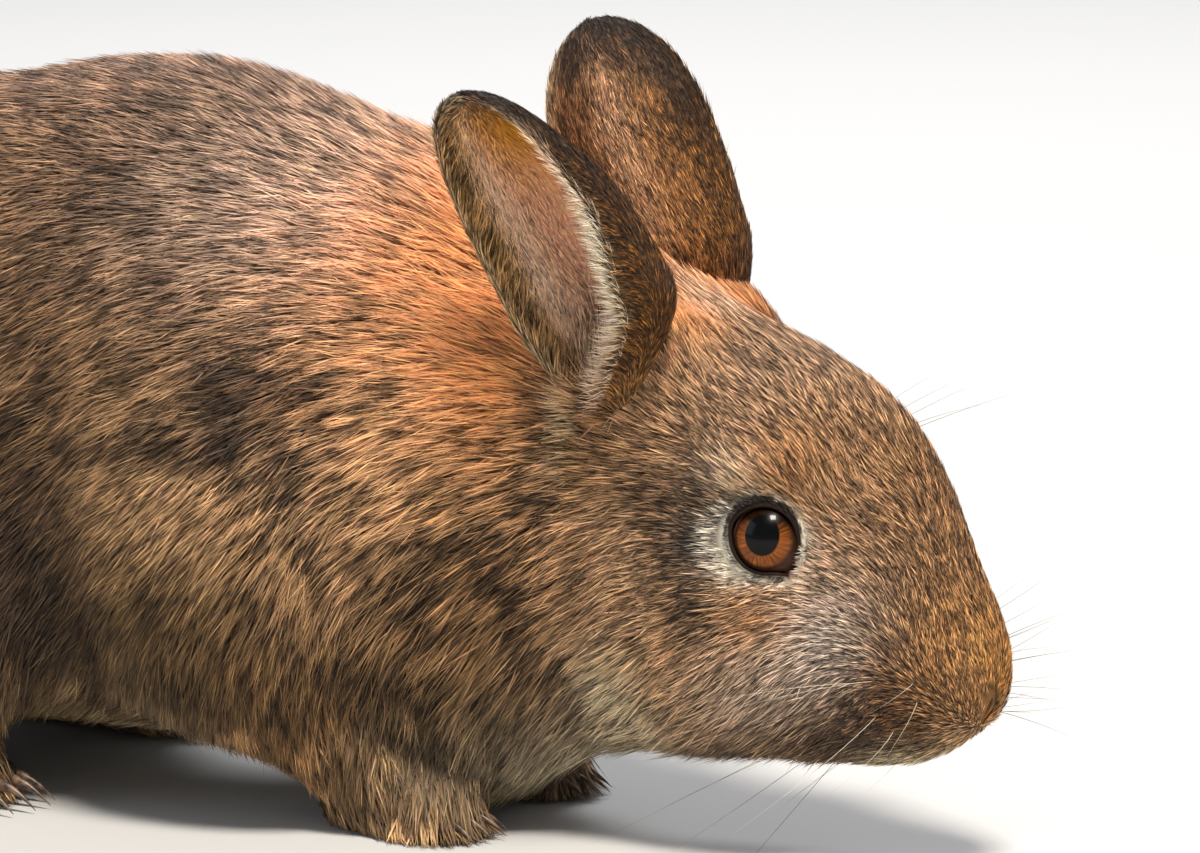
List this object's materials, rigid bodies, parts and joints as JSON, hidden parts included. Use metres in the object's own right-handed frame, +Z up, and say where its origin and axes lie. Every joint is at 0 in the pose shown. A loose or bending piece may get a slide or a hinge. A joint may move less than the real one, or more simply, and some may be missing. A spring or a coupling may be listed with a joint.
{
  "type": "rabbit",
  "caption": "Life-size still model of a crouched, grazing wild-coloured rabbit with its head down and its ears up.",
  "frame": {"origin": "middle of the footprint's box, on the floor that the four feet stand on", "axes": "+X forwards towards the nose, +Y to the rabbit's left, +Z up"},
  "size_m": [0.3568, 0.1232, 0.175],
  "materials": {
    "agouti_coat": "matte fur, brown with black and sandy ticking",
    "pale_coat": "matte fur, cream to white",
    "ear_coat": "short matte fur, with a dark rim",
    "eye_gloss": "wet gloss, amber brown with a black pupil",
    "bare_skin": "soft bare skin inside the ears, on the nose and on the lids",
    "claw_horn": "dark horn, satin"
  },
  "bodies": {
    "root": {"head": "agouti_coat", "neck": "agouti_coat", "trunk": "agouti_coat", "tail": "pale_coat", "foreleg_left": "agouti_coat", "foreleg_right": "agouti_coat", "forepaw_left": "agouti_coat", "forepaw_right": "agouti_coat", "thigh_left": "agouti_coat", "thigh_right": "agouti_coat", "hindfoot_left": "agouti_coat", "hindfoot_right": "agouti_coat", "ear_left": "ear_coat", "ear_right": "ear_coat", "eye_left": "eye_gloss", "eye_right": "eye_gloss"}
  },
  "joints": []
}
